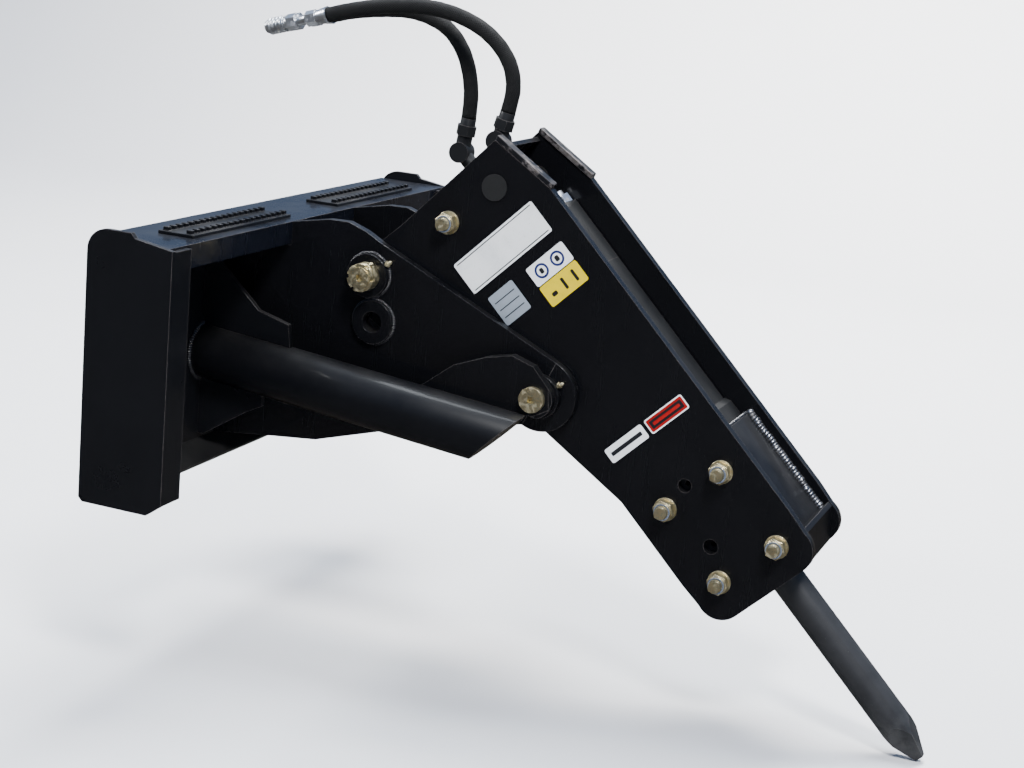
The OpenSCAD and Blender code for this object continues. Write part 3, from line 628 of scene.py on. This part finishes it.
# %% Bead tree
def bead_tree():
    tree = bpy.data.node_groups.new("weld_bead", "GeometryNodeTree")
    face = tree.interface
    face.new_socket("Geometry", in_out="INPUT", socket_type="NodeSocketGeometry")
    sockets = {"Width": 0.008, "Step": 0.0035}
    bead_finish = face.new_socket("Finish", in_out="INPUT", socket_type="NodeSocketMaterial")
    bead_finish.default_value = weld_paint
    for title, value in sockets.items():
        socket = face.new_socket(title, in_out="INPUT", socket_type="NodeSocketFloat")
        socket.default_value = value
    face.new_socket("Geometry", in_out="OUTPUT", socket_type="NodeSocketGeometry")
    new, wire = tree.nodes.new, tree.links.new
    start, end = new("NodeGroupInput"), new("NodeGroupOutput")
    even = new("GeometryNodeResampleCurve")
    even.mode = "LENGTH"
    wire(start.outputs["Geometry"], even.inputs["Curve"])
    wire(start.outputs["Step"], even.inputs["Length"])
    tangent = new("GeometryNodeInputTangent")
    turn = new("FunctionNodeAlignRotationToVector")
    turn.axis = "X"
    wire(tangent.outputs[0], turn.inputs["Vector"])
    ball = new("GeometryNodeMeshUVSphere")
    ball.inputs["Segments"].default_value = 12
    ball.inputs["Rings"].default_value = 8
    ball.inputs["Radius"].default_value = 0.5
    size = new("FunctionNodeRandomValue")
    size.data_type = "FLOAT_VECTOR"
    size.inputs["Min"].default_value = (0.62, 0.86, 0.84)
    size.inputs["Max"].default_value = (0.80, 1.10, 1.06)
    size.inputs["Seed"].default_value = 7
    scaled = new("ShaderNodeVectorMath")
    scaled.operation = "SCALE"
    wire(size.outputs[0], scaled.inputs[0])
    wire(start.outputs["Width"], scaled.inputs["Scale"])
    place = new("GeometryNodeInstanceOnPoints")
    wire(even.outputs["Curve"], place.inputs["Points"])
    wire(ball.outputs["Mesh"], place.inputs["Instance"])
    wire(turn.outputs[0], place.inputs["Rotation"])
    wire(scaled.outputs[0], place.inputs["Scale"])
    real = new("GeometryNodeRealizeInstances")
    wire(place.outputs[0], real.inputs[0])
    shade = new("GeometryNodeSetShadeSmooth")
    wire(real.outputs[0], shade.inputs[0])
    coat = new("GeometryNodeSetMaterial")
    wire(start.outputs["Finish"], coat.inputs["Material"])
    wire(shade.outputs[0], coat.inputs["Geometry"])
    wire(coat.outputs[0], end.inputs["Geometry"])
    return tree


bare_weld = plated("bare_weld", (0.30, 0.30, 0.31, 1), (0.16, 0.16, 0.17, 1), (0.05, 0.05, 0.055, 1), 0.20)
weld_tree = bead_tree()
print("bead tree nodes", len(weld_tree.nodes))


# %% Lay the beads
def bake_nodes(name, source, tree, inputs):
    """Runs a node tree on an object and keeps the plain mesh that comes out."""
    modifier = source.modifiers.new("nodes", "NODES")
    modifier.node_group = tree
    for item in tree.interface.items_tree:
        if item.in_out == "INPUT" and item.name in inputs:
            modifier[item.identifier] = inputs[item.name]
    bpy.context.view_layer.update()
    graph = bpy.context.evaluated_depsgraph_get()
    mesh = bpy.data.meshes.new_from_object(source.evaluated_get(graph))
    source.modifiers.remove(modifier)
    bpy.data.objects.remove(source)
    piece = bpy.data.objects.new(name, mesh)
    bpy.context.scene.collection.objects.link(piece)
    return piece


def curve_through(name, routes):
    data = bpy.data.curves.new(name, "CURVE")
    data.dimensions = "3D"
    for route in routes:
        line = data.splines.new("POLY")
        line.points.add(len(route) - 1)
        for point, place in zip(line.points, route):
            point.co = (*place, 1.0)
    thing = bpy.data.objects.new(name, data)
    bpy.context.scene.collection.objects.link(thing)
    return thing


def lay_beads(name, routes, width, step=0.42, finish=None):
    piece = bake_nodes(name, curve_through(name + "_line", routes), weld_tree,
                       {"Width": width, "Step": width * step, "Finish": finish or weld_paint})
    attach(piece, "breaker")
    print(name, len(piece.data.polygons), "faces")
    return piece


def circle_route(centre, radius, y, count=40):
    """Points on a circle in an upright plane at that y."""
    angles = [math.radians(360.0 * i / count) for i in range(count + 1)]
    return [Vector((centre.x + radius * math.cos(a), y, centre.z + radius * math.sin(a))) for a in angles]


upper_pin_x, upper_pin_z, hole_step = -262, 936, 90
upper_pin_place = on_breaker(upper_pin_x, 0, upper_pin_z)
second_place = on_breaker(upper_pin_x - hole_step * 0.5748, 0, upper_pin_z - hole_step * 0.8183)
arm_face = -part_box("arm_plate_near")[0][1]
boss_radius = 0.042
plate_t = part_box("mount_plate")[0][0] + 0.010
ring_routes = [circle_route(p, boss_radius + 0.001, s * (arm_face + 0.001))
               for p in (upper_pin_place, second_place) for s in (-1, 1)]
lay_beads("boss_welds", ring_routes, 0.008)

arm_low, arm_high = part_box("arm_plate_near")[0][2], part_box("step_plate")[1][2] - 0.055
arm_routes = [[Vector((plate_t + 0.001, s * y, arm_low + 0.02)), Vector((plate_t + 0.001, s * y, arm_high))]
              for s in (-1, 1) for y in (arm_face + 0.001, arm_face - 0.021)]
lay_beads("arm_welds", arm_routes, 0.010)
guard_front, guard_low, guard_high = 101, 66, 298
guard_routes = [[on_breaker(guard_front, s * (half_width - 21), z) for z in (guard_high, guard_low)]
                for s in (-1, 1)]
lay_beads("guard_welds", guard_routes, 0.021, 0.3, bare_weld)
top_route = [on_breaker(guard_front - 6, s * (half_width - 22), guard_high + 4) for s in (-1, 1)]
lay_beads("guard_top_weld", [top_route], 0.009)

# %% [markdown]
# ## The brace tube welds
# Each tube meets the loader plate in a circle, with the gussets above and below it. A bead is laid round each
# circle; the gussets get none here.

# %% Tube beads
tube_low, tube_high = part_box("brace_tube_near")
tube_radius = (tube_high[1] - tube_low[1]) / 2
tube_y = -(tube_high[1] + tube_low[1]) / 2
foot_height = -0.022


def foot_ring(side, count=48):
    radius, angles = tube_radius + 0.001, [2 * math.pi * i / count for i in range(count + 1)]
    return [Vector((plate_t + 0.002, side * tube_y + radius * math.cos(a),
                    foot_height + radius * math.sin(a))) for a in angles]


lay_beads("tube_foot_welds", [foot_ring(-1), foot_ring(1)], 0.011)

# %% [markdown]
# ## Labels without words
# A label is a thin film with a rim. Each one is a flat rounded panel a fraction of a millimetre
# thick, standing on the plate where the design keeps room for it. The marks on them are thinner
# panels on top: a ring is a blue disc with a white one in it. None carries a word.


# %% Label panels
def panel(bm, x0, z0, x1, z1, lift=0.7, corner=4.0, thick=0.5):
    """A rounded rectangle on the near side plate, in breaker millimetres."""
    outline = []
    for cx, cz, first in ((x1 - corner, z1 - corner, 0), (x0 + corner, z1 - corner, 90),
                          (x0 + corner, z0 + corner, 180), (x1 - corner, z0 + corner, 270)):
        for k in range(6):
            angle = math.radians(first + 18 * k)
            outline.append((cx + corner * math.cos(angle), cz + corner * math.sin(angle)))
    back = [bm.verts.new(on_breaker(x, -half_width - lift + thick, z)) for x, z in outline]
    front = [bm.verts.new(on_breaker(x, -half_width - lift, z)) for x, z in outline]
    count = len(outline)
    bm.faces.new(front)
    bm.faces.new(back[::-1])
    for k in range(count):
        bm.faces.new((front[k], back[k], back[(k + 1) % count], front[(k + 1) % count]))


def labels(name, material, panels, **settings):
    bm = bmesh.new()
    for corners in panels:
        panel(bm, *corners, **settings)
    return finish_mesh(name, bm, material)


white_labels = labels("white_labels", white_film, [
    (-120, 782, 82, 850), (-8, 716, 83, 757), (-96, 372, -6, 402), (2, 372, 92, 402)])
labels("grey_labels", grey_film, [(-104, 696, -42, 760)])
labels("yellow_labels", yellow_film, [(-8, 670, 83, 714)])
labels("red_labels", red_film, [(4.5, 374.5, 89.5, 399.5)], lift=0.8, corner=3.0, thick=0.2)
labels("bar_fields", dark_film, [(9, 379, 85, 395), (-88, 383, -14, 391)], lift=0.9, corner=2.0, thick=0.3)
labels("bar_stripe", red_film, [(15, 384, 79, 390)], lift=1.0, corner=1.5, thick=0.2)
labels("label_lines", dark_film, [
    (-114, 786, 76, 788), (-114, 844, 76, 846),
    (-98, 742, -48, 744), (-98, 726, -48, 728), (-98, 710, -48, 712)],
    lift=0.8, corner=0.9, thick=0.2)
labels("mark_discs", blue_film, [(3, 722, 32, 751), (42, 722, 71, 751)], lift=0.8, corner=14.5, thick=0.2)
labels("mark_holes", white_film, [(7.5, 726.5, 27.5, 746.5), (46.5, 726.5, 66.5, 746.5)],
       lift=0.9, corner=10.0, thick=0.2)
labels("mark_bars", dark_film, [
    (13.5, 731, 21.5, 742), (52, 731, 61, 742),
    (6, 684, 18, 692), (36, 680, 42, 704), (62, 680, 68, 704)],
    lift=1.0, corner=2.5, thick=0.4)
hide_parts("decals")
print("label pieces", 10)

# %% [markdown]
# ## Floor and light
# A pale floor curves up behind the machine and soft lamps stand round it. Gloss black shows what
# it mirrors more than its own colour, so the mirrored surroundings are an open yard: blue sky
# above and brown ground below. The pale floor itself is left out of the reflections, and the sky
# shows pale when it is looked at straight.

# %% Studio
low_corner, high_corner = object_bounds()
middle = (Vector(low_corner) + Vector(high_corner)) / 2
reach, back_start, bend = 26.0, 5.0, 2.2
floor_level = low_corner[2] - 0.002
profile = [(-reach, 0.0), (back_start, 0.0)]
profile += [(back_start + bend * math.sin(math.radians(a)), bend * (1 - math.cos(math.radians(a))))
            for a in range(6, 91, 6)]
floor_mesh = bpy.data.meshes.new("floor")
floor_points = [(middle.x + side, middle.y + y, floor_level + z)
                for y, z in profile for side in (-reach, reach)]
floor_faces = [(2 * i, 2 * i + 1, 2 * i + 3, 2 * i + 2) for i in range(len(profile) - 1)]
floor_mesh.from_pydata(floor_points, [], floor_faces)
for polygon in floor_mesh.polygons:
    polygon.use_smooth = True
floor_recipe = Recipe("pale_floor")
floor_tone = floor_recipe.mix(floor_recipe.noise(1.5), grey(0.80), grey(0.84))
floor = link("floor", floor_mesh, floor_recipe.finish(Base_Color=floor_tone, Roughness=0.7))
floor.visible_glossy = False

world = bpy.data.worlds.new("studio")
world.use_nodes = True
sky = world.node_tree
look = sky.nodes.new("ShaderNodeTexCoord")
split = sky.nodes.new("ShaderNodeSeparateXYZ")
ramp = sky.nodes.new("ShaderNodeValToRGB")
sky.links.new(look.outputs["Generated"], split.inputs[0])
sky.links.new(split.outputs["Z"], ramp.inputs[0])
ray, seen = sky.nodes.new("ShaderNodeLightPath"), sky.nodes.new("ShaderNodeMix")
seen.data_type = "RGBA"
seen.inputs[7].default_value = (0.86, 0.87, 0.88, 1)
sky.links.new(ray.outputs["Is Camera Ray"], seen.inputs[0])
sky.links.new(ramp.outputs["Color"], seen.inputs[6])
sky.links.new(seen.outputs[2], sky.nodes["Background"].inputs["Color"])
bands = ((0.0, (0.10, 0.09, 0.08, 1)), (0.08, (0.12, 0.16, 0.24, 1)), (0.40, (0.16, 0.27, 0.50, 1)),
         (1.0, (0.34, 0.52, 0.90, 1)))
while len(ramp.color_ramp.elements) < len(bands):
    ramp.color_ramp.elements.new(0.5)
for element, (height, colour) in zip(ramp.color_ramp.elements, bands):
    element.position, element.color = height, colour
sky.nodes["Background"].inputs["Strength"].default_value = 0.9
bpy.context.scene.world = world


def lamp(name, place, target, size, power, tint=(1, 1, 1)):
    data = bpy.data.lights.new(name, "AREA")
    data.shape, data.size, data.energy, data.color = "DISK", size, power, tint
    thing = bpy.data.objects.new(name, data)
    bpy.context.scene.collection.objects.link(thing)
    thing.location = place
    thing.visible_camera = False
    thing.rotation_euler = (Vector(target) - Vector(place)).to_track_quat("-Z", "Y").to_euler()
    return thing


lamp("key", (2.6, -3.0, 4.2), middle, 1.2, 420)
lamp("top", (0.2, 1.0, 4.6), middle, 2.6, 420, (0.90, 0.95, 1.0))
lamp("rear", (-3.4, -1.2, 2.6), middle, 1.0, 160)
lamp("wash", (0.6, 3.6, 5.4), (0.4, 7.6, 0.0), 4.0, 1700, (1.0, 0.985, 0.965))
print("stage ready", [round(v, 3) for v in middle])
